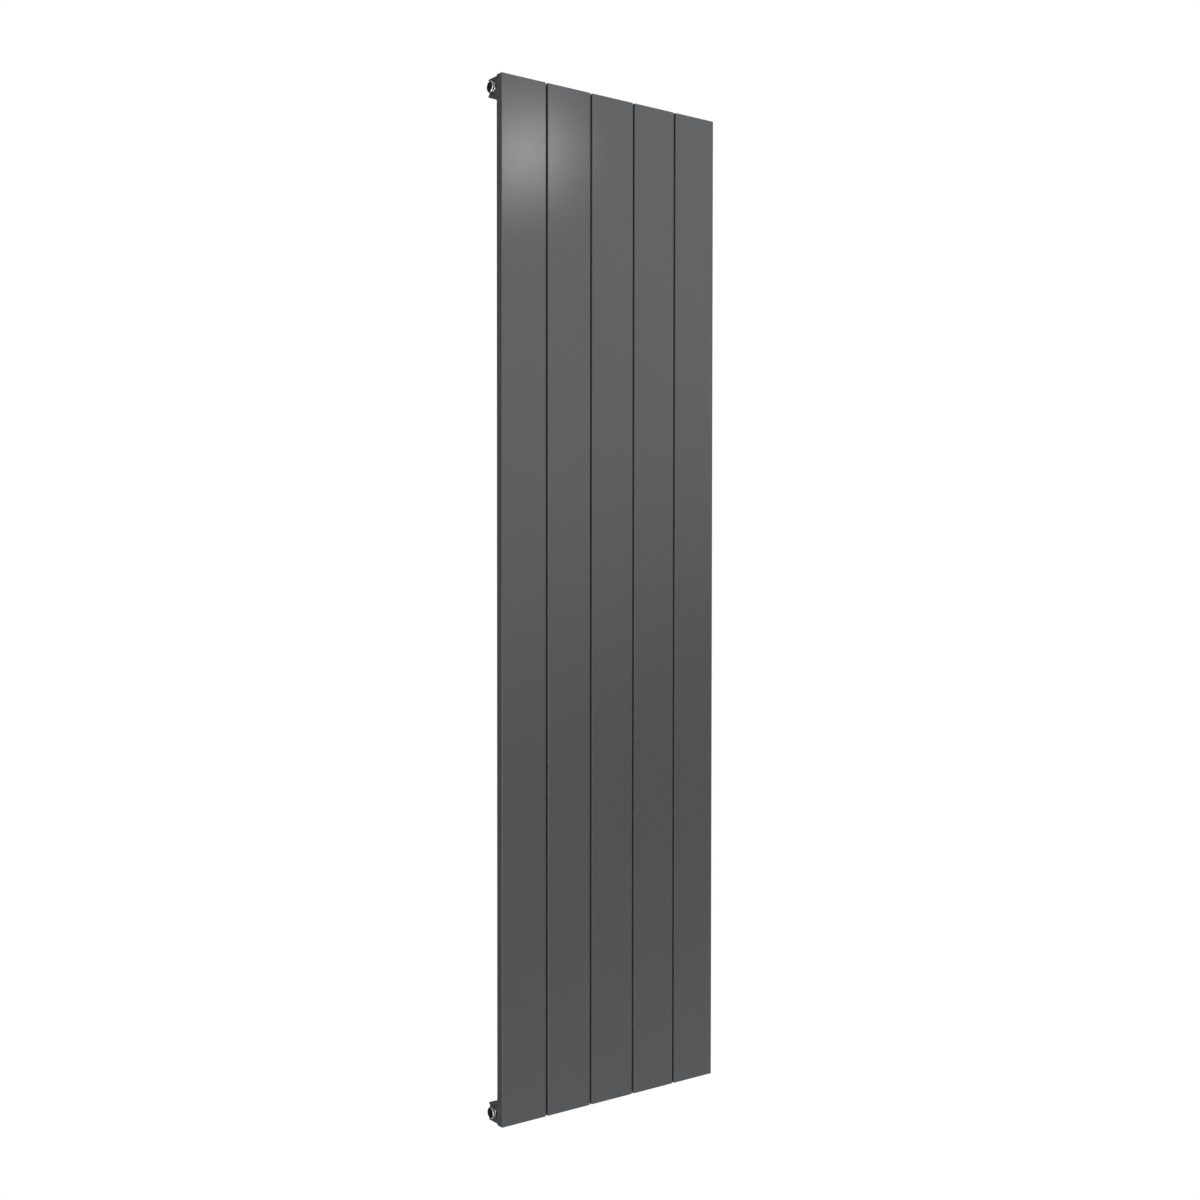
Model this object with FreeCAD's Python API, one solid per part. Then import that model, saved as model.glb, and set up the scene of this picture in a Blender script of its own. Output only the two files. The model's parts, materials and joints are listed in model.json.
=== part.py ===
"""Vertical flat-panel aluminium radiator with its wall brackets, in millimetres.

Five extruded panels stand side by side with narrow gaps. Each carries a sealed water channel on
its back. Behind them, a horizontal header runs across the top and another across the bottom, and
short sleeves join each channel to both headers. The side ports take an air vent and three plugs,
and the bottom header has a flow and a return port in its underside. Hangers on the headers drop
onto four wall brackets.

+X is to the right seen from the room, +Y points into the wall and +Z is up. The origin is on the
wall plane, at the centre of the four wall fixings. A depth is measured back from the panels' front
face, and an end height is measured from the panels' nearer end towards the middle.
"""

import FreeCAD
import Part

import math
import os

# Driving dimensions
PANEL_COUNT = 5
PANEL_HEIGHT = 1800.0
PANEL_WIDTH = 91.0
PANEL_GAP = 4.0
PANEL_DEPTH = 16.0
BODY_DEPTH = 46.0
WALL_GAP = 30.0
LIFT_TRAVEL = 12.0

# Panel extrusion
FRONT_WALL = 2.0
RETURN_WALL = 1.6
PANEL_EDGE_RADIUS = 1.0
RETURN_TIP_RADIUS = 0.5
CHANNEL_HALF_WIDTH = 14.5
CHANNEL_SIDE_WALL = 2.5
CHANNEL_FRONT = 3.0
CHANNEL_BACK = 12.5
CHANNEL_CORNER_RADIUS = 3.0
SCREW_SLOT_OFFSET = 26.0
SCREW_SLOT_GAP = 4.3
SCREW_SLOT_RIB = 1.4
FIN_OFFSET = 36.4
FIN_WALL = 1.2
FIN_DEPTH = 15.0
RIB_ROOT_RADIUS = 0.8
CHANNEL_CAP_LENGTH = 8.0
CHANNEL_CAP_RECESS = 1.0
CHANNEL_CAP_CLEARANCE = 0.05

# Header extrusion
HEADER_INSET = 2.5
HEADER_END_SETBACK = 0.6
HEADER_WALL_DEPTH = 43.2
HEADER_FRONT_HEIGHT = 43.0
HEADER_BACK_HEIGHT = 31.0
OUTER_LIP = 2.4
INNER_LIP = 3.2
HEADER_EDGE_RADIUS = 0.8
LIP_TIP_RADIUS = 0.5
LIP_ROOT_RADIUS = 1.8
GALLERY_RADIUS = 7.475
PORT_DEPTH = 29.5
PORT_HEIGHT = 18.0

# Water connections between panel and header
SLEEVE_HOLE_RADIUS = 7.0
SLEEVE_RADIUS = 6.95
SLEEVE_BORE_RADIUS = 5.5
SEAL_SEAT_RADIUS = 10.0
SEAL_SEAT_DEPTH = 1.5
SEAL_INNER_RADIUS = 7.3
SEAL_OUTER_RADIUS = 9.6
SEAL_THICKNESS = 1.45
SEAL_EDGE_RADIUS = 0.5
SLEEVE_END_GAP = 0.2

# Panel screws
PANEL_SCREW_HEIGHT = 35.5
PANEL_SCREW_SEAT = 24.0
PANEL_SCREW_TIP = 5.0
SCREW_CLEARANCE_RADIUS = 2.7
SCREW_SHANK_RADIUS = 2.1
SCREW_HEAD_RADIUS = 4.25
SCREW_HEAD_LENGTH = 5.0
COUNTERBORE_RADIUS = 4.7
SCREW_EDGE = 0.6
SCREW_SOCKET_ACROSS_FLATS = 4.0
SCREW_SOCKET_DEPTH = 2.5
FLAT_HEAD_SOCKET_DEPTH = 1.4
TAPPED_HOLE_CLEARANCE = 0.05

# Flow and return ports in the underside of the bottom header
SUPPLY_PORT_RADIUS = 9.315
SUPPLY_PORT_HEIGHT = 10.4
SUPPLY_PORT_CHAMFER = 0.8
SUPPLY_WAY_RADIUS = 7.0

# Side plugs and air vent
WASHER_THICKNESS = 0.8
WASHER_RADIUS = 8.6
FLANGE_ACROSS_FLATS = 17.0
FLANGE_THICKNESS = 2.8
FLANGE_CHAMFER = 2.2
NECK_RADIUS = 6.4
NECK_LENGTH = 2.8
DISC_RADIUS = 10.0
DISC_THICKNESS = 1.8
DISC_CHAMFER = 1.2
DISC_EDGE_RADIUS = 0.25
STUB_RADIUS = 7.45
STUB_LENGTH = 10.0
STUB_CHAMFER = 0.8
WASHER_CLEARANCE = 0.05

# Bleed screw, its seal and the outlet ring round the vent's neck
KEY_POCKET_RADIUS = 4.8
KEY_POCKET_DEPTH = 4.2
BLEED_SQUARE = 5.0
BLEED_SQUARE_CORNER_RADIUS = 3.25
BLEED_SQUARE_LENGTH = 3.6
BLEED_STEM_RADIUS = 2.9
BLEED_HOLE_RADIUS = 3.0
BLEED_TIP_LENGTH = 2.0
BLEED_SEAT_RADIUS = 1.2
BLEED_SEAT_SETBACK = 3.0
BLEED_SEAL_OUTER = 2.96
BLEED_SEAL_INNER = 2.25
BLEED_SEAL_WIDTH = 1.2
BLEED_GROOVE_RADIUS = 2.2
BLEED_GROOVE_WIDTH = 1.3
OUTLET_RING_INNER = 6.45
OUTLET_RING_OUTER = 7.6
OUTLET_RING_WIDTH = 2.2
OUTLET_HOLE_RADIUS = 0.45

# Flow diverter in the bottom gallery
DIVERTER_RADIUS = 7.25
DIVERTER_LENGTH = 14.0
DIVERTER_GROOVE_RADIUS = 6.0
DIVERTER_GROOVE_WIDTH = 2.2
DIVERTER_CHAMFER = 0.8
DIVERTER_SEAL_RADIUS = 7.4
DIVERTER_SEAL_WIDTH = 2.1
DIVERTER_SEAL_CLEARANCE = 0.02

# Hangers and wall brackets
BRACKET_OFFSET = 142.5
HANGER_WIDTH = 48.0
HANGER_HALF_HEIGHT = 7.9
HANGER_THICKNESS = 2.0
HOOK_LIFT_MARGIN = 1.0
HANGER_CORNER_RADIUS = 3.0
HANGER_SCREW_OFFSET = 17.0
HANGER_SCREW_HOLE_DEPTH = 5.0
HANGER_SCREW_HOLE = 2.4
HANGER_SCREW_TIP_GAP = 0.4
HANGER_HEAD_RADIUS = 3.9
HANGER_HEAD_LENGTH = 2.4
BRACKET_THICKNESS = 3.0
BRACKET_WIDTH = 40.0
BRACKET_HALF_HEIGHT = 15.0
BRACKET_CORNER_RADIUS = 4.0
BRACKET_BEND_RADIUS = 3.0
TONGUE_WIDTH = 22.0
WALL_SLOT_RADIUS = 3.5
WALL_SLOT_LENGTH = 16.0
PAD_WALL = 1.2
PAD_DROP = 8.0
PAD_EDGE_RADIUS = 0.8
PAD_FIT = 0.05
PAD_CLEARANCE = 0.3
REST_CLEARANCE = 0.1

# Places worked out from the driving dimensions
PITCH = PANEL_WIDTH + PANEL_GAP
TOTAL_WIDTH = PANEL_COUNT * PITCH - PANEL_GAP
FRONT_Y = -(WALL_GAP + BODY_DEPTH)
PANEL_CENTRES = [(i - (PANEL_COUNT - 1) / 2) * PITCH for i in range(PANEL_COUNT)]
HEADER_END = TOTAL_WIDTH / 2 - HEADER_INSET
FLANGE_END = WASHER_THICKNESS + FLANGE_THICKNESS
NECK_END = FLANGE_END + NECK_LENGTH
NECK_MIDDLE = (FLANGE_END + NECK_END) / 2
DISC_END = NECK_END + DISC_THICKNESS
BLEED_SHOULDER = DISC_END - KEY_POCKET_DEPTH
BLEED_SEAT = -STUB_LENGTH + BLEED_SEAT_SETBACK
BLEED_CONE_FOOT = BLEED_SEAT + BLEED_TIP_LENGTH
BLEED_GROOVE_X = (BLEED_CONE_FOOT + BLEED_SHOULDER) / 2
GALLERY_Y = FRONT_Y + PORT_DEPTH
GALLERY_Z = PANEL_HEIGHT / 2 - PORT_HEIGHT
HANGER_HOOK_DEPTH = LIFT_TRAVEL - HOOK_LIFT_MARGIN
ENDS = {"top": 1, "bottom": -1}
SIDES = {"left": -1, "right": 1}
VENT_PORT = "top_right"
TINY = 1e-4
MATCH = 0.01
OVERCUT = 1.0

V = FreeCAD.Vector


def y_at(depth):
    """The Y of a depth behind the panels' front face."""
    return FRONT_Y + depth


def z_at(end, height):
    """The Z of a height measured from that end of the panels towards the middle."""
    return end * (PANEL_HEIGHT / 2 - height)


def box(x, y, z):
    """A box from its low and high X, Y and Z."""
    size = [span[1] - span[0] for span in (x, y, z)]
    return Part.makeBox(*size, V(x[0], y[0], z[0]))


def rod(start, direction, length, radius):
    """A solid cylinder from a start point along a direction."""
    return Part.makeCylinder(radius, length, V(*start), V(*direction))


def tube(start, direction, length, outer, inner):
    """A round ring or pipe."""
    through = [s - d * OVERCUT for s, d in zip(start, direction)]
    hole = rod(through, direction, length + 2 * OVERCUT, inner)
    return rod(start, direction, length, outer).cut(hole)


def hex_prism(start, direction, length, across_flats):
    """A hexagonal prism from a start point along a direction."""
    corner = across_flats / math.sqrt(3)
    placed = FreeCAD.Placement(V(*start), FreeCAD.Rotation(V(0, 0, 1), V(*direction)))
    points = [V(corner * math.cos(math.radians(60 * i)), corner * math.sin(math.radians(60 * i)), 0)
              for i in range(7)]
    prism = Part.Face(Part.makePolygon(points)).extrude(V(0, 0, length))
    prism.Placement = placed
    return prism


def straight_edges(shape, axis):
    """The straight edges that run along an axis, 0 for X, 1 for Y and 2 for Z."""
    found = []
    for edge in shape.Edges:
        if len(edge.Vertexes) == 2 and isinstance(edge.Curve, (Part.Line, Part.LineSegment)):
            run = edge.Vertexes[1].Point - edge.Vertexes[0].Point
            if abs(abs(run[axis]) - run.Length) < TINY:
                found.append(edge)
    return found


def edges_at(shape, axis, places):
    """The straight edges along an axis that pass through any of the given pairs of the other two
    coordinates."""
    others = [i for i in range(3) if i != axis]
    found = []
    for edge in straight_edges(shape, axis):
        point = edge.Vertexes[0].Point
        at = [point[i] for i in others]
        if any(abs(at[0] - a) < MATCH and abs(at[1] - b) < MATCH for a, b in places):
            found.append(edge)
    return found


def circles_at(shape, radius, axis, place):
    """The round edges of a radius whose centre has the given coordinate along an axis."""
    return [edge for edge in shape.Edges
            if isinstance(edge.Curve, Part.Circle) and abs(edge.Curve.Radius - radius) < MATCH
            and abs(edge.Curve.Center[axis] - place) < MATCH]


def rounded_slab(x_half, y_low, y_high, z_low, z_high, radius):
    """An upright bar centred on X = 0 with its four long edges rounded."""
    bar = box((-x_half, x_half), (y_low, y_high), (z_low, z_high))
    return bar.makeFillet(radius, straight_edges(bar, 2))


# Panels


def channel_bar(z_low, z_high, clearance=0.0):
    """The space inside a panel's water channel, as a solid."""
    return rounded_slab(CHANNEL_HALF_WIDTH - clearance, y_at(CHANNEL_FRONT) + clearance,
                        y_at(CHANNEL_BACK) - clearance, z_low, z_high,
                        CHANNEL_CORNER_RADIUS - clearance)


def rib_spans():
    """The X span and depth of each rib on one side of the water channel."""
    inner = SCREW_SLOT_OFFSET - SCREW_SLOT_GAP / 2
    outer = SCREW_SLOT_OFFSET + SCREW_SLOT_GAP / 2
    return [
        (inner - SCREW_SLOT_RIB, inner, PANEL_DEPTH),
        (outer, outer + SCREW_SLOT_RIB, PANEL_DEPTH),
        (FIN_OFFSET - FIN_WALL / 2, FIN_OFFSET + FIN_WALL / 2, FIN_DEPTH),
        (PANEL_WIDTH / 2 - RETURN_WALL, PANEL_WIDTH / 2, PANEL_DEPTH),
    ]


def panel_extrusion():
    """One full-height panel centred on X = 0: front plate, side returns, ribs and water channel."""
    z = (-PANEL_HEIGHT / 2, PANEL_HEIGHT / 2)
    half = PANEL_WIDTH / 2
    body_half = CHANNEL_HALF_WIDTH + CHANNEL_SIDE_WALL
    pieces = [box((-body_half, body_half), (y_at(0), y_at(PANEL_DEPTH)), z)]
    for low, high, depth in rib_spans():
        for x in ((low, high), (-high, -low)):
            pieces.append(box(x, (y_at(0), y_at(depth)), z))
    plate = box((-half, half), (y_at(0), y_at(FRONT_WALL)), z)
    panel = plate.multiFuse(pieces).removeSplitter()
    panel = panel.makeFillet(PANEL_EDGE_RADIUS,
                             edges_at(panel, 2, [(-half, y_at(0)), (half, y_at(0))]))
    roots = [x for low, high, depth in rib_spans() for x in (low, high) if x < half]
    roots.append(body_half)
    root_places = [(side * x, y_at(FRONT_WALL)) for x in roots for side in (-1, 1)]
    panel = panel.makeFillet(RIB_ROOT_RADIUS, edges_at(panel, 2, root_places))
    tip_places = [(side * x, y_at(PANEL_DEPTH)) for x in (half, half - RETURN_WALL)
                  for side in (-1, 1)]
    panel = panel.makeFillet(RETURN_TIP_RADIUS, edges_at(panel, 2, tip_places))
    return panel.cut(channel_bar(*z))


def panel(centre):
    """A panel at its place, with the holes for its two connection sleeves."""
    shape = panel_extrusion()
    shape.translate(V(centre, 0, 0))
    length = PANEL_DEPTH - CHANNEL_BACK + 2 * OVERCUT
    for end in ENDS.values():
        start = (centre, y_at(CHANNEL_BACK) - OVERCUT, end * GALLERY_Z)
        shape = shape.cut(rod(start, (0, 1, 0), length, SLEEVE_HOLE_RADIUS))
    return shape


def channel_caps(end):
    """The plugs that close one end of every water channel."""
    outer = z_at(end, CHANNEL_CAP_RECESS)
    inner = z_at(end, CHANNEL_CAP_RECESS + CHANNEL_CAP_LENGTH)
    caps = []
    for centre in PANEL_CENTRES:
        cap = channel_bar(min(outer, inner), max(outer, inner), CHANNEL_CAP_CLEARANCE)
        cap.translate(V(centre, 0, 0))
        caps.append(cap)
    return caps


# Headers


def header_outline():
    """The corners of the header's section, as pairs of depth and end height."""
    return [
        (PANEL_DEPTH, HEADER_END_SETBACK),
        (BODY_DEPTH, HEADER_END_SETBACK),
        (BODY_DEPTH, HEADER_END_SETBACK + OUTER_LIP),
        (HEADER_WALL_DEPTH, HEADER_END_SETBACK + OUTER_LIP),
        (HEADER_WALL_DEPTH, HEADER_BACK_HEIGHT - INNER_LIP),
        (BODY_DEPTH, HEADER_BACK_HEIGHT - INNER_LIP),
        (BODY_DEPTH, HEADER_BACK_HEIGHT),
        (PANEL_DEPTH, HEADER_FRONT_HEIGHT),
    ]


def header_extrusion(end):
    """The header's bar, with rounded edges and rounded corners in its rear recess."""
    corners = [(y_at(depth), z_at(end, height)) for depth, height in header_outline()]
    points = [V(-HEADER_END, y, z) for y, z in corners + corners[:1]]
    bar = Part.Face(Part.makePolygon(points)).extrude(V(2 * HEADER_END, 0, 0))
    rounding = {HEADER_EDGE_RADIUS: [0, 1, 6, 7], LIP_TIP_RADIUS: [2, 5], LIP_ROOT_RADIUS: [3, 4]}
    for radius, numbers in rounding.items():
        bar = bar.makeFillet(radius, edges_at(bar, 0, [corners[i] for i in numbers]))
    return bar


def panel_screw_places():
    """The X of every panel screw."""
    return [centre + side * SCREW_SLOT_OFFSET for centre in PANEL_CENTRES for side in (-1, 1)]


def hanger_screw_places():
    """The X of every hanger screw on one header."""
    return [side * BRACKET_OFFSET + shift for side in (-1, 1)
            for shift in (-HANGER_SCREW_OFFSET, HANGER_SCREW_OFFSET)]


def header(end):
    """A header with its gallery, sleeve holes, seal seats and screw holes."""
    front = y_at(PANEL_DEPTH) - OVERCUT
    cuts = [rod((-HEADER_END - OVERCUT, GALLERY_Y, end * GALLERY_Z), (1, 0, 0),
                2 * (HEADER_END + OVERCUT), GALLERY_RADIUS)]
    for centre in PANEL_CENTRES:
        start = (centre, front, end * GALLERY_Z)
        cuts.append(rod(start, (0, 1, 0), GALLERY_Y - front, SLEEVE_HOLE_RADIUS))
        cuts.append(rod(start, (0, 1, 0), OVERCUT + SEAL_SEAT_DEPTH, SEAL_SEAT_RADIUS))
    for x in panel_screw_places():
        z = z_at(end, PANEL_SCREW_HEIGHT)
        cuts.append(rod((x, front, z), (0, 1, 0), BODY_DEPTH, SCREW_CLEARANCE_RADIUS))
        cuts.append(rod((x, y_at(PANEL_SCREW_SEAT), z), (0, 1, 0), BODY_DEPTH,
                        COUNTERBORE_RADIUS))
    for x in hanger_screw_places():
        start = (x, y_at(HEADER_WALL_DEPTH) - HANGER_SCREW_HOLE_DEPTH, end * GALLERY_Z)
        cuts.append(rod(start, (0, 1, 0), HANGER_SCREW_HOLE_DEPTH + OVERCUT,
                        SCREW_SHANK_RADIUS + TAPPED_HOLE_CLEARANCE))
    return header_extrusion(end).cut(cuts)


def bottom_header():
    """The bottom header, with the flow and return ports in its underside."""
    end = ENDS["bottom"]
    low = z_at(end, HEADER_END_SETBACK)
    port_top = z_at(end, SUPPLY_PORT_HEIGHT)
    cuts = []
    for centre in (PANEL_CENTRES[0], PANEL_CENTRES[-1]):
        cuts.append(rod((centre, GALLERY_Y, low - OVERCUT), (0, 0, 1),
                        port_top - low + OVERCUT, SUPPLY_PORT_RADIUS))
        cuts.append(rod((centre, GALLERY_Y, low), (0, 0, 1), end * GALLERY_Z - low,
                        SUPPLY_WAY_RADIUS))
        cuts.append(Part.makeCone(SUPPLY_PORT_RADIUS + SUPPLY_PORT_CHAMFER, SUPPLY_PORT_RADIUS,
                                  SUPPLY_PORT_CHAMFER, V(centre, GALLERY_Y, low)))
    return header(end).cut(cuts)


def connection_sleeves(end):
    """The sleeves that carry water from each channel into one header."""
    start = CHANNEL_BACK + SLEEVE_END_GAP
    length = PORT_DEPTH - GALLERY_RADIUS - SLEEVE_END_GAP - start
    return [tube((centre, y_at(start), end * GALLERY_Z), (0, 1, 0), length, SLEEVE_RADIUS,
                 SLEEVE_BORE_RADIUS) for centre in PANEL_CENTRES]


def connection_seals(end):
    """The flat rings squeezed between the panels and one header, with rounded edges."""
    seals = []
    for centre in PANEL_CENTRES:
        ring = tube((centre, y_at(PANEL_DEPTH), end * GALLERY_Z), (0, 1, 0), SEAL_THICKNESS,
                    SEAL_OUTER_RADIUS, SEAL_INNER_RADIUS)
        rims = circles_at(ring, SEAL_OUTER_RADIUS, 0, centre)
        seals.append(ring.makeFillet(SEAL_EDGE_RADIUS, rims))
    return seals


def socket_screw(place, shank_length, head_radius, head_length, socket_depth):
    """A screw with a rounded socket head that points its shank towards the room. Its place is the
    middle of the face under its head."""
    x, seat_y, z = place
    head = rod(place, (0, 1, 0), head_length, head_radius)
    head = head.makeFillet(SCREW_EDGE, circles_at(head, head_radius, 1, seat_y + head_length))
    tip_y = seat_y - shank_length
    shank = rod((x, tip_y, z), (0, 1, 0), shank_length, SCREW_SHANK_RADIUS)
    shank = shank.makeChamfer(SCREW_EDGE, circles_at(shank, SCREW_SHANK_RADIUS, 1, tip_y))
    socket = hex_prism((x, seat_y + head_length - socket_depth, z), (0, 1, 0),
                       socket_depth + OVERCUT, SCREW_SOCKET_ACROSS_FLATS)
    return head.fuse(shank).removeSplitter().cut(socket)


def panel_screws(end):
    """The screws that clamp one header to the panels' screw slots."""
    return [socket_screw((x, y_at(PANEL_SCREW_SEAT), z_at(end, PANEL_SCREW_HEIGHT)),
                         PANEL_SCREW_SEAT - PANEL_SCREW_TIP, SCREW_HEAD_RADIUS, SCREW_HEAD_LENGTH,
                         SCREW_SOCKET_DEPTH) for x in panel_screw_places()]


def flow_diverter():
    """A grooved plug in the bottom gallery that sends the flow up the first panel."""
    middle = (PANEL_CENTRES[0] + PANEL_CENTRES[1]) / 2
    start = (middle - DIVERTER_LENGTH / 2, GALLERY_Y, -GALLERY_Z)
    body = rod(start, (1, 0, 0), DIVERTER_LENGTH, DIVERTER_RADIUS)
    rims = [edge for edge in body.Edges if isinstance(edge.Curve, Part.Circle)]
    body = body.makeChamfer(DIVERTER_CHAMFER, rims)
    groove = tube((middle - DIVERTER_GROOVE_WIDTH / 2, GALLERY_Y, -GALLERY_Z), (1, 0, 0),
                  DIVERTER_GROOVE_WIDTH, DIVERTER_RADIUS + OVERCUT, DIVERTER_GROOVE_RADIUS)
    return body.cut(groove)


def flow_diverter_seal():
    """The ring in the diverter's groove."""
    middle = (PANEL_CENTRES[0] + PANEL_CENTRES[1]) / 2
    start = middle - DIVERTER_SEAL_WIDTH / 2
    ring = tube((start, GALLERY_Y, -GALLERY_Z), (1, 0, 0), DIVERTER_SEAL_WIDTH,
                DIVERTER_SEAL_RADIUS, DIVERTER_GROOVE_RADIUS + DIVERTER_SEAL_CLEARANCE)
    rims = [edge for x in (start, start + DIVERTER_SEAL_WIDTH)
            for edge in circles_at(ring, DIVERTER_SEAL_RADIUS, 0, x)]
    return ring.makeFillet(SEAL_EDGE_RADIUS, rims)


# Side plugs and air vent. Each is made on the X axis, with the header's end face at X = 0 and
# the outside towards +X, and then put at its port.


def place_at_port(shape, side, end):
    """Moves a piece made on the X axis to a side port."""
    if side < 0:
        shape = shape.copy()
        shape.rotate(V(0, 0, 0), V(0, 0, 1), 180)
    shape.translate(V(side * HEADER_END, GALLERY_Y, end * GALLERY_Z))
    return shape


def port_washer():
    """The sealing washer between a plug's flange and the header's end face."""
    return tube((0, 0, 0), (1, 0, 0), WASHER_THICKNESS, WASHER_RADIUS,
                STUB_RADIUS + WASHER_CLEARANCE)


def spanner_flange():
    """The hexagonal flange that a spanner turns, with a wide chamfer round its outer face."""
    corner = FLANGE_ACROSS_FLATS / math.sqrt(3)
    start = (WASHER_THICKNESS, 0, 0)
    bar = rod(start, (1, 0, 0), FLANGE_THICKNESS, corner)
    bar = bar.makeChamfer(FLANGE_CHAMFER, circles_at(bar, corner, 0, FLANGE_END))
    return bar.common(hex_prism(start, (1, 0, 0), FLANGE_THICKNESS, FLANGE_ACROSS_FLATS))


def blanking_plug():
    """A plain plug: stub, hexagonal flange, neck and round disc with a chamfered rim."""
    outline = [(-STUB_LENGTH, 0), (-STUB_LENGTH, STUB_RADIUS), (WASHER_THICKNESS, STUB_RADIUS),
               (WASHER_THICKNESS, NECK_RADIUS), (NECK_END, NECK_RADIUS), (NECK_END, DISC_RADIUS),
               (DISC_END, DISC_RADIUS), (DISC_END, 0), (-STUB_LENGTH, 0)]
    face = Part.Face(Part.makePolygon([V(x, 0, radius) for x, radius in outline]))
    body = face.revolve(V(0, 0, 0), V(1, 0, 0), 360)
    body = body.makeChamfer(DISC_CHAMFER, circles_at(body, DISC_RADIUS, 0, DISC_END))
    body = body.makeFillet(DISC_EDGE_RADIUS, circles_at(body, DISC_RADIUS, 0, NECK_END))
    body = body.makeChamfer(STUB_CHAMFER, circles_at(body, STUB_RADIUS, 0, -STUB_LENGTH))
    return body.fuse(spanner_flange()).removeSplitter()


def vent_passage():
    """The slanted hole that lets air out from beside the bleed screw to the neck's underside."""
    start = BLEED_GROOVE_X - BLEED_GROOVE_WIDTH / 2 - OUTLET_HOLE_RADIUS
    run = NECK_MIDDLE - start
    rise = NECK_RADIUS - BLEED_STEM_RADIUS
    length = math.hypot(run, rise) + OUTLET_HOLE_RADIUS * run / rise
    return rod((start, 0, -BLEED_STEM_RADIUS), (run, 0, -rise), length, OUTLET_HOLE_RADIUS)


def air_vent_body():
    """The vent's body: a plug with a key pocket, a bore and seat for the bleed screw, and an
    inlet and outlet for the air."""
    pocket = rod((BLEED_SHOULDER, 0, 0), (1, 0, 0), KEY_POCKET_DEPTH + OVERCUT, KEY_POCKET_RADIUS)
    bore = rod((BLEED_CONE_FOOT, 0, 0), (1, 0, 0), DISC_END - BLEED_CONE_FOOT, BLEED_HOLE_RADIUS)
    cone = Part.makeCone(BLEED_SEAT_RADIUS, BLEED_HOLE_RADIUS, BLEED_TIP_LENGTH,
                         V(BLEED_SEAT, 0, 0), V(1, 0, 0))
    inlet = rod((-STUB_LENGTH - OVERCUT, 0, 0), (1, 0, 0), STUB_LENGTH + BLEED_SEAT + 2 * OVERCUT,
                BLEED_SEAT_RADIUS)
    return blanking_plug().cut([pocket, bore, cone, inlet, vent_passage()])


def bleed_screw():
    """The bleed screw: square head, stem with a seal groove, and a cone that meets the seat."""
    gap = BLEED_HOLE_RADIUS - BLEED_STEM_RADIUS
    foot = BLEED_CONE_FOOT + gap
    stem = rod((foot, 0, 0), (1, 0, 0), BLEED_SHOULDER - foot, BLEED_STEM_RADIUS)
    tip = Part.makeCone(BLEED_SEAT_RADIUS, BLEED_STEM_RADIUS, BLEED_TIP_LENGTH,
                        V(foot - BLEED_TIP_LENGTH, 0, 0), V(1, 0, 0))
    half = BLEED_SQUARE / 2
    head = box((BLEED_SHOULDER, BLEED_SHOULDER + BLEED_SQUARE_LENGTH), (-half, half),
               (-half, half))
    head = head.common(rod((BLEED_SHOULDER, 0, 0), (1, 0, 0), BLEED_SQUARE_LENGTH,
                           BLEED_SQUARE_CORNER_RADIUS))
    groove = tube((BLEED_GROOVE_X - BLEED_GROOVE_WIDTH / 2, 0, 0), (1, 0, 0), BLEED_GROOVE_WIDTH,
                  BLEED_STEM_RADIUS + OVERCUT, BLEED_GROOVE_RADIUS)
    return stem.multiFuse([tip, head]).removeSplitter().cut(groove)


def bleed_screw_seal():
    """The ring in the bleed screw's groove."""
    return tube((BLEED_GROOVE_X - BLEED_SEAL_WIDTH / 2, 0, 0), (1, 0, 0), BLEED_SEAL_WIDTH,
                BLEED_SEAL_OUTER, BLEED_SEAL_INNER)


def outlet_ring():
    """The turning ring on the vent's neck, with a small outlet hole that points down."""
    ring = tube((NECK_MIDDLE - OUTLET_RING_WIDTH / 2, 0, 0), (1, 0, 0), OUTLET_RING_WIDTH,
                OUTLET_RING_OUTER, OUTLET_RING_INNER)
    outlet = rod((NECK_MIDDLE, 0, 0), (0, 0, -1), OUTLET_RING_OUTER + OVERCUT, OUTLET_HOLE_RADIUS)
    return ring.cut(outlet)


# Hangers and wall brackets. Each is made with the header's gallery axis at Z = 0 and its own
# middle at X = 0, and then put at its place.

HANGER_FRONT = y_at(HEADER_WALL_DEPTH)
HANGER_BACK = HANGER_FRONT + HANGER_THICKNESS
HOOK_TOP = HANGER_HALF_HEIGHT
HOOK_UNDERSIDE = HOOK_TOP - HANGER_THICKNESS
TONGUE_TOP = HOOK_UNDERSIDE - REST_CLEARANCE - PAD_WALL
TONGUE_FRONT = y_at(BODY_DEPTH) + PAD_CLEARANCE + PAD_WALL
TONGUE_BACK = TONGUE_FRONT + BRACKET_THICKNESS
LEG_FRONT = TONGUE_BACK + PAD_WALL + PAD_CLEARANCE
LEG_BACK = LEG_FRONT + HANGER_THICKNESS


def bracket_spots():
    """The name, X and Z of each of the four bracket places."""
    return [(f"{end_name}_{side_name}", side * BRACKET_OFFSET, end * GALLERY_Z)
            for end_name, end in ENDS.items() for side_name, side in SIDES.items()]


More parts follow.
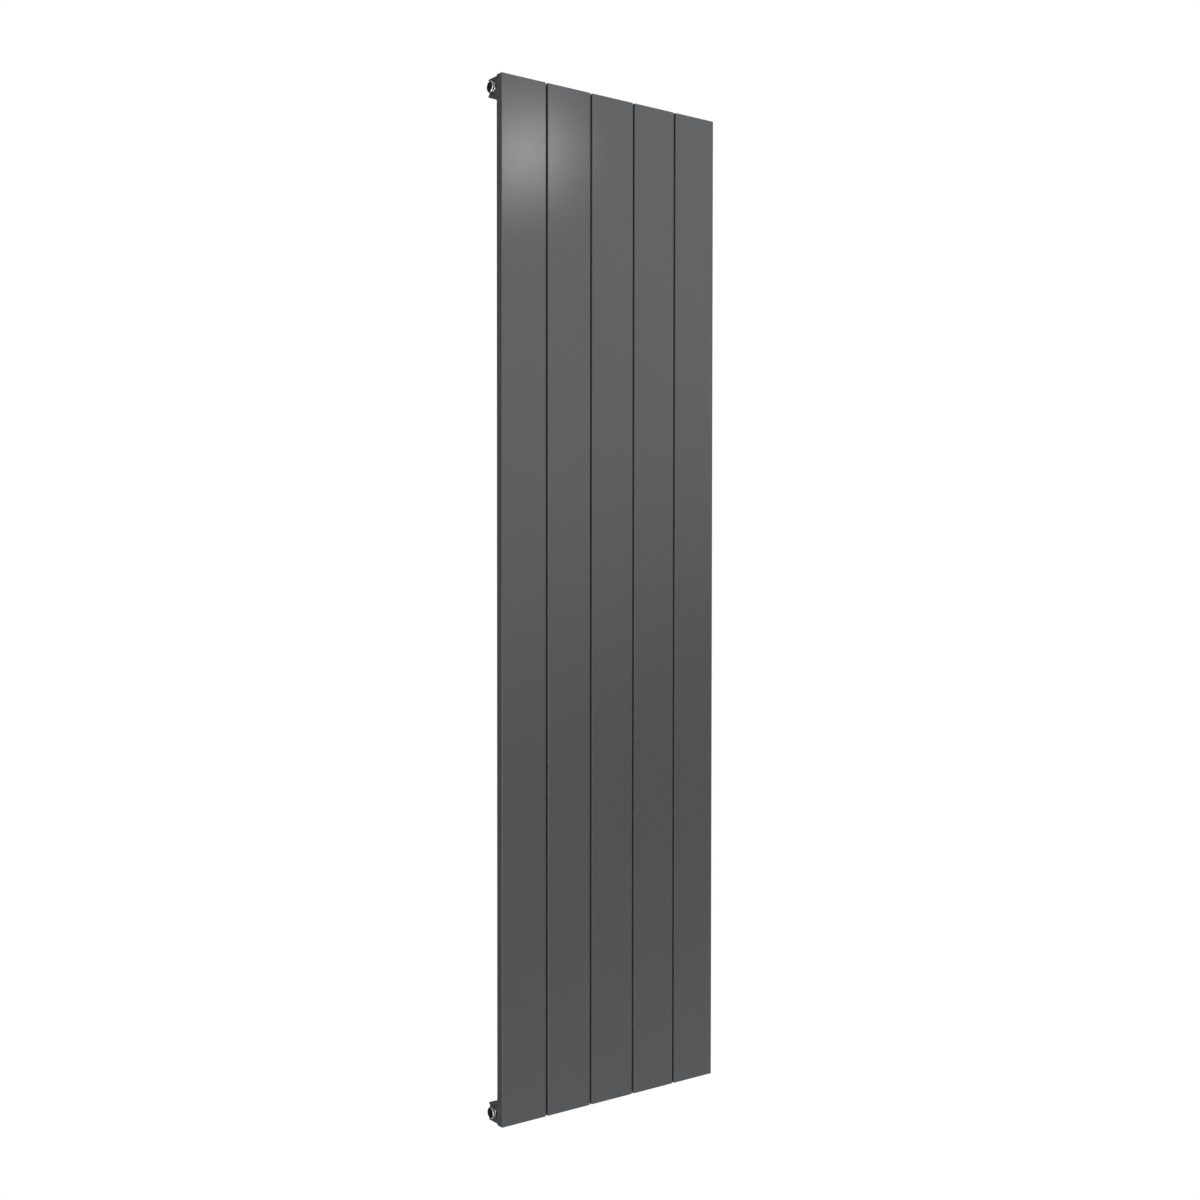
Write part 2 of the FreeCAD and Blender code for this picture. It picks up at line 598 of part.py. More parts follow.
def hanger():
    """A bent strip: a plate in the header's recess, an arm back over the wall bracket's tongue
    and a leg down behind it."""
    half = HANGER_WIDTH / 2
    x = (-half, half)
    leg_tip = HOOK_UNDERSIDE - HANGER_HOOK_DEPTH
    plate = box(x, (HANGER_FRONT, HANGER_BACK), (-HANGER_HALF_HEIGHT, HOOK_TOP))
    arm = box(x, (HANGER_FRONT, LEG_BACK), (HOOK_UNDERSIDE, HOOK_TOP))
    leg = box(x, (LEG_FRONT, LEG_BACK), (leg_tip, HOOK_TOP))
    strip = plate.multiFuse([arm, leg]).removeSplitter()
    outer_bends = [(HANGER_FRONT, HOOK_TOP), (LEG_BACK, HOOK_TOP)]
    strip = strip.makeFillet(HANGER_THICKNESS, edges_at(strip, 0, outer_bends))
    tip_corners = [(side * half, leg_tip) for side in (-1, 1)]
    strip = strip.makeFillet(HANGER_CORNER_RADIUS, edges_at(strip, 1, tip_corners))
    holes = [rod((shift, HANGER_FRONT - OVERCUT, 0), (0, 1, 0), HANGER_THICKNESS + 2 * OVERCUT,
                 HANGER_SCREW_HOLE) for shift in (-HANGER_SCREW_OFFSET, HANGER_SCREW_OFFSET)]
    return strip.cut(holes)


def hanger_screws(end):
    """The screws that hold the hangers of one header."""
    length = HANGER_THICKNESS + HANGER_SCREW_HOLE_DEPTH - HANGER_SCREW_TIP_GAP
    return [socket_screw((x, HANGER_BACK, end * GALLERY_Z), length, HANGER_HEAD_RADIUS,
                         HANGER_HEAD_LENGTH, FLAT_HEAD_SOCKET_DEPTH)
            for x in hanger_screw_places()]


def wall_bracket():
    """A bent plate: a slotted wall plate, an arm towards the room and a tongue that points up."""
    half = BRACKET_WIDTH / 2
    wall = -BRACKET_THICKNESS
    foot = -BRACKET_HALF_HEIGHT
    arm_top = foot + BRACKET_THICKNESS
    plate = box((-half, half), (wall, 0), (foot, BRACKET_HALF_HEIGHT))
    arm = box((-half, half), (TONGUE_FRONT, 0), (foot, arm_top))
    tongue = box((-half, half), (TONGUE_FRONT, TONGUE_BACK), (foot, TONGUE_TOP))
    bracket = plate.multiFuse([arm, tongue]).removeSplitter()
    outer_bends = edges_at(bracket, 0, [(0, foot), (TONGUE_FRONT, foot)])
    bracket = bracket.makeFillet(BRACKET_BEND_RADIUS + BRACKET_THICKNESS, outer_bends)
    inner_bends = edges_at(bracket, 0, [(wall, arm_top), (TONGUE_BACK, arm_top)])
    bracket = bracket.makeFillet(BRACKET_BEND_RADIUS, inner_bends)
    for side in (-1, 1):
        notch = box(sorted((side * TONGUE_WIDTH / 2, side * (half + OVERCUT))),
                    (TONGUE_FRONT - OVERCUT, TONGUE_BACK + OVERCUT),
                    (arm_top + BRACKET_BEND_RADIUS, TONGUE_TOP + OVERCUT))
        bracket = bracket.cut(notch)
    corners = edges_at(bracket, 1, [(side * half, BRACKET_HALF_HEIGHT) for side in (-1, 1)])
    bracket = bracket.makeFillet(BRACKET_CORNER_RADIUS, corners)
    reach = WALL_SLOT_LENGTH / 2 - WALL_SLOT_RADIUS
    slot = box((-reach, reach), (wall - OVERCUT, OVERCUT), (-WALL_SLOT_RADIUS, WALL_SLOT_RADIUS))
    ends = [rod((x, wall - OVERCUT, 0), (0, 1, 0), BRACKET_THICKNESS + 2 * OVERCUT,
                WALL_SLOT_RADIUS) for x in (-reach, reach)]
    return bracket.cut(slot.multiFuse(ends))


def bracket_pad():
    """The plastic cap pushed over a wall bracket's tongue."""
    half = TONGUE_WIDTH / 2 + PAD_WALL
    top = TONGUE_TOP + PAD_WALL
    cap = box((-half, half), (TONGUE_FRONT - PAD_WALL, TONGUE_BACK + PAD_WALL),
              (TONGUE_TOP - PAD_DROP, top))
    rim = [edge for edge in cap.Edges if edge.CenterOfMass.z > top - TINY]
    cap = cap.makeFillet(PAD_EDGE_RADIUS, rim)
    inner_half = TONGUE_WIDTH / 2 + PAD_FIT
    hollow = box((-inner_half, inner_half), (TONGUE_FRONT - PAD_FIT, TONGUE_BACK + PAD_FIT),
                 (TONGUE_TOP - PAD_DROP - OVERCUT, TONGUE_TOP))
    return cap.cut(hollow)


def at_bracket(shape, x, z):
    """Moves a hanger, bracket or pad to its place."""
    shape.translate(V(x, 0, z))
    return shape


def save(name, shapes):
    """Writes one or more solids as parts/NAME.step."""
    solids = []
    for shape in shapes if isinstance(shapes, list) else [shapes]:
        solids.extend(shape.Solids)
    for solid in solids:
        if not solid.isValid() or solid.Volume <= 0:
            raise ValueError(f"{name} holds a solid that isn't valid")
    made = solids[0] if len(solids) == 1 else Part.makeCompound(solids)
    made.exportStep(f"parts/{name}.step")
    print(f"{name}: {len(solids)} solid(s), {sum(s.Volume for s in solids) / 1000:.2f} cm3")


def main():
    os.makedirs("parts", exist_ok=True)
    for number, centre in enumerate(PANEL_CENTRES, 1):
        save(f"panel_{number}", panel(centre))
    save("top_header", header(ENDS["top"]))
    save("bottom_header", bottom_header())
    for name, end in ENDS.items():
        save(f"{name}_channel_caps", channel_caps(end))
        save(f"{name}_connection_sleeves", connection_sleeves(end))
        save(f"{name}_connection_seals", connection_seals(end))
        save(f"{name}_panel_screws", panel_screws(end))
        save(f"{name}_hanger_screws", hanger_screws(end))
    save("flow_diverter", flow_diverter())
    save("flow_diverter_seal", flow_diverter_seal())
    for end_name, end in ENDS.items():
        for side_name, side in SIDES.items():
            port = f"{end_name}_{side_name}"
            is_vent = port == VENT_PORT
            save("air_vent_washer" if is_vent else f"{port}_plug_washer",
                 place_at_port(port_washer(), side, end))
            save("air_vent_body" if is_vent else f"{port}_plug",
                 place_at_port(air_vent_body() if is_vent else blanking_plug(), side, end))
    vent_pieces = {"bleed_screw": bleed_screw, "bleed_screw_seal": bleed_screw_seal,
                   "outlet_ring": outlet_ring}
    for name, make in vent_pieces.items():
        save(name, place_at_port(make(), SIDES["right"], ENDS["top"]))
    for spot, x, z in bracket_spots():
        save(f"{spot}_hanger", at_bracket(hanger(), x, z))
        save(f"{spot}_wall_bracket", at_bracket(wall_bracket(), x, z))
        save(f"{spot}_bracket_pad", at_bracket(bracket_pad(), x, z))


main()
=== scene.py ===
"""Looks and studio for a tall flat-panel radiator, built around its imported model.

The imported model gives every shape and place. This script paints it, adds the weld beads and
other fine detail that the plain model leaves out, and sets up the floor, lights and camera.
Everything is in metres: +X is to the right, +Y points into the wall and +Z is up.
"""

import json
import math

import bmesh
import bpy
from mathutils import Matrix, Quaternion, Vector


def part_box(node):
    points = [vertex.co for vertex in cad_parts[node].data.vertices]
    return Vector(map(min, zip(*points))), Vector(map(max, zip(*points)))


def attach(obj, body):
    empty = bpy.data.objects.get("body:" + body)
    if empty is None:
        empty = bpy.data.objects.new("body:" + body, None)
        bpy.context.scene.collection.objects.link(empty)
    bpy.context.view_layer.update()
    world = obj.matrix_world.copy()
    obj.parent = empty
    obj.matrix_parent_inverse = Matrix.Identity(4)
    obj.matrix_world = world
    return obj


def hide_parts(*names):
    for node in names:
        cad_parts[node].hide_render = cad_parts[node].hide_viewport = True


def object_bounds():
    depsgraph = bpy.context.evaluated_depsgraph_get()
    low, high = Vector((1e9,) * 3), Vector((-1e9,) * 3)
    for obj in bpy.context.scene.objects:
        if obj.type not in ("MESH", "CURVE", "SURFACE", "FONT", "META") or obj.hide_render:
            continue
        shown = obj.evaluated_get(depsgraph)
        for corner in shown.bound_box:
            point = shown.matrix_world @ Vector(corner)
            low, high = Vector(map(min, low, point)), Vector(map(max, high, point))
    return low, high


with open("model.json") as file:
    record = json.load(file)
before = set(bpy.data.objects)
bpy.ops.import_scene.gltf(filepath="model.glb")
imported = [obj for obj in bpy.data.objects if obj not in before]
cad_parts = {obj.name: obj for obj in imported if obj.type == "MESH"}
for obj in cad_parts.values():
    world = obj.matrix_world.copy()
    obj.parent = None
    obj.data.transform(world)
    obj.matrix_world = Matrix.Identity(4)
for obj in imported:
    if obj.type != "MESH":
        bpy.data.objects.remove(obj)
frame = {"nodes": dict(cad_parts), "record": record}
cad_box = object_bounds()

# The radiator's own places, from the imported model
PANELS = sorted(name for name in frame["nodes"] if name.removeprefix("panel_").isdigit())
PANEL_CENTRES = [(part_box(name)[0].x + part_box(name)[1].x) / 2 for name in PANELS]
FRONT_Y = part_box("panel_1")[0].y
LEFT_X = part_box("panel_1")[0].x
PANEL_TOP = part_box("panel_1")[1].z
PANEL_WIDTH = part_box("panel_1")[1].x - LEFT_X

# The useful middle of a noise's values
NOISE_LOW = 0.3
NOISE_HIGH = 0.7

# How strongly fine grain and marks tilt a surface
FINE_BUMP = 0.3

# Powder coat: its colour and gloss, how far its tone and roughness drift, and its two reliefs
PAINT_COLOUR = (0.0793, 0.0820, 0.0868)
PAINT_GLOSS = 0.6
PAINT_ROUGHNESSES = {
    "anthracite_paint": 0.27,
    "bracket_paint": 0.42,
}
TONE_DRIFT = 0.015
TONE_DRIFT_SCALE = 3.0
TONE_DRIFT_DETAIL = 3.0
GLOSS_DRIFT = 0.006
GLOSS_DRIFT_SCALE = 45.0
GLOSS_DRIFT_DETAIL = 3.0
PEEL_SCALE = 420.0
PEEL_DETAIL = 2.0
PEEL_DEPTH = 0.00004
PEEL_BUMP = 0.25
PAINT_GRAIN_SCALE = 2600.0
PAINT_GRAIN_DETAIL = 1.0
PAINT_GRAIN_DEPTH = 0.00001

# Metals, each with its colour and roughness. Marks run along the axis with the small stretch.
METALS = {
    "bare_aluminium": {"colour": (0.78, 0.78, 0.79), "roughness": 0.38, "stretch": (1, 1, 0.03)},
    "plug_chrome": {"colour": (0.52, 0.52, 0.525), "roughness": 0.08, "mark_depth": 0.000002,
                    "groove": 0.005},
    "bleed_brass": {"colour": (0.72, 0.52, 0.24), "roughness": 0.25},
    "zinc_steel": {"colour": (0.62, 0.63, 0.65), "roughness": 0.33},
    "black_steel": {"colour": (0.06, 0.06, 0.065), "roughness": 0.42},
}
MARK_SCALE = 900.0
MARK_DETAIL = 3.0
MARK_CHOPPINESS = 0.6
MARK_DEPTH = 0.00001
MARK_TONE = 0.9
MARK_GLOSS_DRIFT = 0.2

# Painted shade in the grooves of the plated pieces, from how open to the room a place is
GROOVE_CLOSED = 0.5
GROOVE_OPEN = 0.95
GROOVE_SHADE_TONE = 0.3

# Rubber and plastics, each with its colour and roughness
SOFT_SOLIDS = {
    "black_rubber": {"colour": (0.018, 0.018, 0.018), "roughness": 0.62},
    "moulded_plastic": {"colour": (0.5, 0.5, 0.48), "roughness": 0.45},
    "dark_plastic": {"colour": (0.03, 0.03, 0.032), "roughness": 0.45},
}
MOULD_GRAIN_SCALE = 1500.0
MOULD_GRAIN_DETAIL = 2.0
MOULD_GRAIN_DEPTH = 0.00002
MOULD_GRAIN_TONE = 1.15

# Weld beads round the caps that close the water channels
CAP_CORNER_RADIUS = 0.00295
CAP_CORNER_STEPS = 10
WELD_STEP = 0.0004
WELD_WIDTH = 0.0021
WELD_HEIGHT = 0.0007
WELD_RIPPLE = 0.14
WELD_PITCH = 0.0021
WELD_CRESCENT = 0.3
WELD_RINGS = 8

# Ribs on the vent's outlet ring
RIB_COUNT = 24
RIB_RADIUS = 0.00022
RIB_END_SHARE = 0.4
RIB_STEPS = 8

# Camera
CAMERA_YAW = math.radians(36.366)
CAMERA_PITCH = math.radians(1.162)
CAMERA_ROLL = math.radians(0.046)
CAMERA_DISTANCE = 2.6643
CAMERA_TARGET = Vector((-0.0279, FRONT_Y, 0.00403))
CAMERA_LENS = 44.73
CAMERA_SENSOR = 36.0

# Floor and backdrop
FLOOR_DROP = 0.12
FLOOR_SIZE = 30.0
BACKDROP_RADIUS = 15.0
BACKDROP_SEGMENTS = 32

# Room light in front, as pairs of height and brightness. It leans up towards the right.
FRONT_GLOW = ((-1.0, 1.8), (-0.82, 1.2), (-0.72, 0.6), (-0.63, 0.4), (-0.5, 0.02), (-0.4, 0.0),
              (-0.3, 1.12), (0.6, 1.12), (1.0, 0.6))
GLOW_TILT = 0.57
GLOW_TILT_END = 0.66

# Room light behind, at the left and right, and in the steep parts of the left
REAR_GLOW = 0.7
REAR_START = -0.15
REAR_FULL = 0.25
LEFT_GAIN = 1.35
LEFT_FULL = -0.9
LEFT_START = -0.2
STEEP_GLOW = 0.75
STEEP_START = 0.4
STEEP_FULL = 0.7
STEEP_LEFT_FULL = -0.6
STEEP_LEFT_START = -0.3
RIGHT_GLOW = 0.4
RIGHT_START = 0.7
RIGHT_FULL = 0.95

# Dark patch of the room at the rear left
SHADE_DIRECTION = Vector((-0.593, 0.805, 0.0))
SHADE_INNER = 0.9
SHADE_OUTER = 0.6
SHADE_GLOW = 0.028

# Lamp for the round glow near the top left
HIGHLIGHT_ACROSS = 0.45
HIGHLIGHT_DROP = 0.13
HIGHLIGHT_DISTANCE = 1.2
HIGHLIGHT_SPREAD = math.radians(17.4)
HIGHLIGHT_SIZE = 0.05
HIGHLIGHT_POWER = 3.5

# Tall soft light on the left, for a fine line along the rounded edges. It stands behind the plane
# of the panel fronts, so that they never mirror it.
EDGE_LIGHT_DIRECTION = Vector((-0.97, 0.24, 0.0))
EDGE_LIGHT_DISTANCE = 2.0
EDGE_LIGHT_HEIGHT = -0.78
EDGE_LIGHT_WIDTH = 0.9
EDGE_LIGHT_LENGTH = 1.35
EDGE_LIGHT_GLOW = 4.0


def new_material(name):
    """A new material, with its node tree and the shader in it."""
    material = bpy.data.materials.new(name)
    material.use_nodes = True
    shader = material.node_tree.nodes["Principled BSDF"]
    return material, material.node_tree, shader


def add_node(tree, kind, **values):
    """A new node with the given inputs and settings. An input's name is written with underscores
    for its spaces."""
    node = tree.nodes.new(kind)
    for key, value in values.items():
        label = key.replace("_", " ")
        if label in node.inputs:
            node.inputs[label].default_value = value
        else:
            setattr(node, key, value)
    return node


def noise(tree, scale, detail, choppiness=0.5, stretch=(1, 1, 1)):
    """Noise in the object's own space, as its factor from 0 to 1."""
    place = add_node(tree, "ShaderNodeTexCoord")
    mapping = add_node(tree, "ShaderNodeMapping")
    mapping.inputs["Scale"].default_value = stretch
    texture = add_node(tree, "ShaderNodeTexNoise", Scale=scale, Detail=detail,
                       Roughness=choppiness)
    tree.links.new(place.outputs["Object"], mapping.inputs["Vector"])
    tree.links.new(mapping.outputs["Vector"], texture.inputs["Vector"])
    return texture.outputs["Fac"]


def spread(tree, factor, low, high):
    """Spreads the useful middle of a noise's factor over low to high."""
    ramp = add_node(tree, "ShaderNodeMapRange", From_Min=NOISE_LOW, From_Max=NOISE_HIGH,
                    To_Min=low, To_Max=high)
    tree.links.new(factor, ramp.inputs["Value"])
    return ramp.outputs["Result"]


def blend_colours(tree, factor, first, second):
    """A colour that goes from first to second with a factor."""
    mix = add_node(tree, "ShaderNodeMix", data_type="RGBA")
    mix.inputs["A"].default_value = (*first, 1)
    mix.inputs["B"].default_value = (*second, 1)
    tree.links.new(factor, mix.inputs["Factor"])
    return mix.outputs["Result"]


def add_bump(tree, shader, heights):
    """Stacks bumps on a shader, each as a height factor, its depth in metres and its strength."""
    normal = None
    for factor, depth, strength in heights:
        bump = add_node(tree, "ShaderNodeBump", Strength=strength, Distance=depth)
        tree.links.new(factor, bump.inputs["Height"])
        if normal:
            tree.links.new(normal, bump.inputs["Normal"])
        normal = bump.outputs["Normal"]
    tree.links.new(normal, shader.inputs["Normal"])


def powder_coat(name, colour, roughness):
    """Satin powder coat: slight tone drift, soft orange peel and a fine grain."""
    material, tree, shader = new_material(name)
    shader.inputs["Specular IOR Level"].default_value = PAINT_GLOSS
    drift = noise(tree, TONE_DRIFT_SCALE, TONE_DRIFT_DETAIL)
    darker = tuple(c * (1 - TONE_DRIFT) for c in colour)
    lighter = tuple(c * (1 + TONE_DRIFT) for c in colour)
    tree.links.new(blend_colours(tree, spread(tree, drift, 0.0, 1.0), darker, lighter),
                   shader.inputs["Base Color"])
    patches = noise(tree, GLOSS_DRIFT_SCALE, GLOSS_DRIFT_DETAIL)
    tree.links.new(spread(tree, patches, roughness - GLOSS_DRIFT, roughness + GLOSS_DRIFT),
                   shader.inputs["Roughness"])
    peel = noise(tree, PEEL_SCALE, PEEL_DETAIL)
    grain = noise(tree, PAINT_GRAIN_SCALE, PAINT_GRAIN_DETAIL)
    add_bump(tree, shader, [(peel, PEEL_DEPTH, PEEL_BUMP), (grain, PAINT_GRAIN_DEPTH, FINE_BUMP)])
    return material


def paint_groove_shade(tree, surface, groove):
    """Darkens a colour in grooves up to about the groove size, as painted shade where a place is
    shut in."""
    openness = add_node(tree, "ShaderNodeAmbientOcclusion", Distance=groove)
    ramp = add_node(tree, "ShaderNodeMapRange", From_Min=GROOVE_CLOSED, From_Max=GROOVE_OPEN,
                    To_Min=GROOVE_SHADE_TONE, To_Max=1.0)
    tree.links.new(openness.outputs["AO"], ramp.inputs["Value"])
    shaded = add_node(tree, "ShaderNodeVectorMath", operation="SCALE")
    tree.links.new(surface, shaded.inputs[0])
    tree.links.new(ramp.outputs["Result"], shaded.inputs["Scale"])
    return shaded.outputs["Vector"]


def metal(name, colour, roughness, stretch=(1, 1, 1), mark_depth=MARK_DEPTH, groove=None):
    """Bare or plated metal with fine marks, which may stretch along an axis, and painted shade in
    its grooves where a groove size is given."""
    material, tree, shader = new_material(name)
    shader.inputs["Metallic"].default_value = 1.0
    marks = noise(tree, MARK_SCALE, MARK_DETAIL, MARK_CHOPPINESS, stretch)
    duller = tuple(c * MARK_TONE for c in colour)
    surface = blend_colours(tree, spread(tree, marks, 0.0, 1.0), duller, colour)
    # Painted shade: the colour is darkened in grooves that the room's light barely reaches
    if groove:
        surface = paint_groove_shade(tree, surface, groove)
    tree.links.new(surface, shader.inputs["Base Color"])
    smoother = roughness * (1 - MARK_GLOSS_DRIFT)
    rougher = roughness * (1 + MARK_GLOSS_DRIFT)
    tree.links.new(spread(tree, marks, smoother, rougher), shader.inputs["Roughness"])
    add_bump(tree, shader, [(marks, mark_depth, FINE_BUMP)])
    return material


def soft_solid(name, colour, roughness):
    """Rubber or plastic with a fine moulded grain."""
    material, tree, shader = new_material(name)
    grain = noise(tree, MOULD_GRAIN_SCALE, MOULD_GRAIN_DETAIL)
    lighter = tuple(c * MOULD_GRAIN_TONE for c in colour)
    tree.links.new(blend_colours(tree, spread(tree, grain, 0.0, 1.0), colour, lighter),
                   shader.inputs["Base Color"])
    shader.inputs["Roughness"].default_value = roughness
    add_bump(tree, shader, [(grain, MOULD_GRAIN_DEPTH, FINE_BUMP)])
    return material


def make_materials():
    """One material for each of the record's material slots."""
    materials = {}
    for slot, roughness in PAINT_ROUGHNESSES.items():
        materials[slot] = powder_coat(f"{slot}_coat", PAINT_COLOUR, roughness)
    for slot, look in METALS.items():
        materials[slot] = metal(f"{slot}_finish", **look)
    for slot, look in SOFT_SOLIDS.items():
        materials[slot] = soft_solid(f"{slot}_finish", **look)
    return materials


def paint_nodes(materials):
    """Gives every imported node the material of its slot."""
    slots = {row["node"]: row["material_slot"] for row in frame["record"]["subparts"]}
    for name, node in frame["nodes"].items():
        node.data.materials.clear()
        node.data.materials.append(materials[slots[name]])


def add_piece(name, shape, material, body):
    """Turns finished mesh work into a smooth-shaded piece that rides on a body."""
    bmesh.ops.recalc_face_normals(shape, faces=shape.faces)
    mesh = bpy.data.meshes.new(name)
    shape.to_mesh(mesh)
    shape.free()
    mesh.shade_smooth()
    mesh.materials.append(material)
    piece = bpy.data.objects.new(name, mesh)
    bpy.context.collection.objects.link(piece)
    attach(piece, body)
    return piece


def join_rings(shape, rings):
    """Faces between rings of points, each ring closed on itself."""
    for low, high in zip(rings, rings[1:]):
        for i, corner in enumerate(low):
            after = (i + 1) % len(low)
            shape.faces.new((corner, low[after], high[after], high[i]))


def cap_outline(half_x, half_y):
    """Points round a cap with rounded corners, each with its way out and its distance along."""
    core_x = half_x - CAP_CORNER_RADIUS
    core_y = half_y - CAP_CORNER_RADIUS
    points = []
    for turn, (sign_x, sign_y) in enumerate(((1, 1), (-1, 1), (-1, -1), (1, -1))):
        corner = Vector((sign_x * core_x, sign_y * core_y))
        for step in range(CAP_CORNER_STEPS + 1):
            angle = math.radians(90) * (turn + step / CAP_CORNER_STEPS)
            out = Vector((math.cos(angle), math.sin(angle)))
            points.append((corner + out * CAP_CORNER_RADIUS, out))
        straight = 2 * (core_x if turn % 2 == 0 else core_y)
        along = Vector((-out.y, out.x))
        start = points[-1][0]
        count = round(straight / WELD_STEP)
        for step in range(1, count):
            points.append((start + along * straight * step / count, out))
    distance = 0.0
    measured = []
    for i, (point, out) in enumerate(points):
        distance += (point - points[i - 1][0]).length if i else 0.0
        measured.append((point, out, distance))
    return measured


def add_cap(shape, centre, half_x, half_y, foot, face, end):
    """One cap with the rippled bead that welds it in. End is 1 for an upper cap and -1 for a
    lower one."""
    outline = cap_outline(half_x, half_y)
    length = outline[-1][2]
    ripple_pitch = length / round(length / WELD_PITCH)

    def ring(inset, height_at):
        corners = []
        for point, out, distance in outline:
            place = point - out * inset
            corners.append(shape.verts.new((centre.x + place.x, centre.y + place.y,
                                            height_at(distance))))
        return corners

    def bead_height(share, distance):
        lag = WELD_CRESCENT * (2 * share - 1) ** 2
        wave = math.cos(2 * math.pi * (distance / ripple_pitch + lag))
        rise = WELD_HEIGHT * math.sin(math.pi * share) * (1 + WELD_RIPPLE * wave)
        return face + end * rise

    rings = [ring(0.0, lambda distance: foot)]
    for number in range(WELD_RINGS + 1):
        share = number / WELD_RINGS
        rings.append(ring(WELD_WIDTH * share, lambda distance: bead_height(share, distance)))
    join_rings(shape, rings)
    shape.faces.new(rings[0])
    shape.faces.new(rings[-1])


def make_welded_caps(materials):
    """The painted channel caps at both ends of the panels, each set in its weld bead."""
    for end_name, end in (("top", 1), ("bottom", -1)):
        node = f"{end_name}_channel_caps"
        low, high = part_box(node)
        foot, face = (low.z, high.z) if end > 0 else (high.z, low.z)
        shape = bmesh.new()
        for centre_x in PANEL_CENTRES:
            centre = Vector((centre_x, (low.y + high.y) / 2))
            add_cap(shape, centre, PANEL_CENTRES[0] - low.x, (high.y - low.y) / 2, foot, face,
                    end)
        caps = add_piece(f"{end_name}_welded_caps", shape, materials["anthracite_paint"],
                         "radiator")
        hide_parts(node)


def make_ring_ribs(materials):
    """Small grip ribs round the vent's outlet ring. The lowest place is left for its hole."""
    low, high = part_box("outlet_ring")
    middle = (low + high) / 2
    reach = (high.z - low.z) / 2
    shape = bmesh.new()
    for number in range(1, RIB_COUNT):
        angle = 2 * math.pi * number / RIB_COUNT - math.pi / 2
        out = Vector((0, math.cos(angle), math.sin(angle)))
        side = Vector((0, -out.z, out.y))
        ends = []
        for x, share in ((low.x, RIB_END_SHARE), (low.x + RIB_RADIUS, 1.0),
                         (high.x - RIB_RADIUS, 1.0), (high.x, RIB_END_SHARE)):
            ring = []
            for step in range(2 * RIB_STEPS):
                turn = math.pi * step / RIB_STEPS
                offset = (out * math.sin(turn) + side * math.cos(turn)) * RIB_RADIUS * share
                place = Vector((x, middle.y, middle.z)) + out * reach + offset
                ring.append(shape.verts.new(place))
            ends.append(ring)
        join_rings(shape, ends)
        shape.faces.new(ends[0])
        shape.faces.new(ends[-1])
    add_piece("outlet_ring_ribs", shape, materials["dark_plastic"],
              "outlet_ring")


def glowing_white(name):
    """Plain white that gives off its own light."""
    material, tree, shader = new_material(name)
    shader.inputs["Base Color"].default_value = (0, 0, 0, 1)
    shader.inputs["Specular IOR Level"].default_value = 0.0
    shader.inputs["Emission Color"].default_value = (1, 1, 1, 1)
    shader.inputs["Emission Strength"].default_value = 1.0
    return material


def make_floor():
    """A plain pale floor a little below the radiator. It shows in no reflection and adds no
    light."""
    half = FLOOR_SIZE / 2
    level = cad_box[0].z - FLOOR_DROP
    mesh = bpy.data.meshes.new("studio_floor")
    corners = [(-half, -half, level), (half, -half, level), (half, half, level),
               (-half, half, level)]
    mesh.from_pydata(corners, [], [(0, 1, 2, 3)])
    mesh.materials.append(glowing_white("studio_floor_paint"))
    floor = bpy.data.objects.new("studio_floor", mesh)
    bpy.context.collection.objects.link(floor)
    floor.visible_diffuse = False
    floor.visible_glossy = False


def make_backdrop():
    """A white dome that only the camera sees, so that the room's light can be uneven."""
    mesh = bpy.data.meshes.new("studio_backdrop")
    shape = bmesh.new()
    bmesh.ops.create_uvsphere(shape, u_segments=BACKDROP_SEGMENTS,
                              v_segments=BACKDROP_SEGMENTS // 2, radius=BACKDROP_RADIUS)
    shape.to_mesh(mesh)
    shape.free()
    mesh.materials.append(glowing_white("studio_backdrop_paint"))
    backdrop = bpy.data.objects.new("studio_backdrop", mesh)
    bpy.context.collection.objects.link(backdrop)
    backdrop.visible_diffuse = False
    backdrop.visible_glossy = False
    backdrop.visible_transmission = False
    backdrop.visible_shadow = False


def math_node(tree, operation, first, second=0.0):
    """A sum, product or other operation on two values, each a socket or a number."""
    node = add_node(tree, "ShaderNodeMath", operation=operation)
    for socket, value in zip(node.inputs, (first, second)):
        if isinstance(value, (int, float)):
            socket.default_value = value
        else:
            tree.links.new(value, socket)
    return node.outputs["Value"]


def step_between(tree, value, low, high, out_low, out_high):
    """A smooth step in a value from out_low to out_high."""
    ramp = add_node(tree, "ShaderNodeMapRange", interpolation_type="SMOOTHSTEP", From_Min=low,
                    From_Max=high, To_Min=out_low, To_Max=out_high)
    tree.links.new(value, ramp.inputs["Value"])
    return ramp.outputs["Result"]


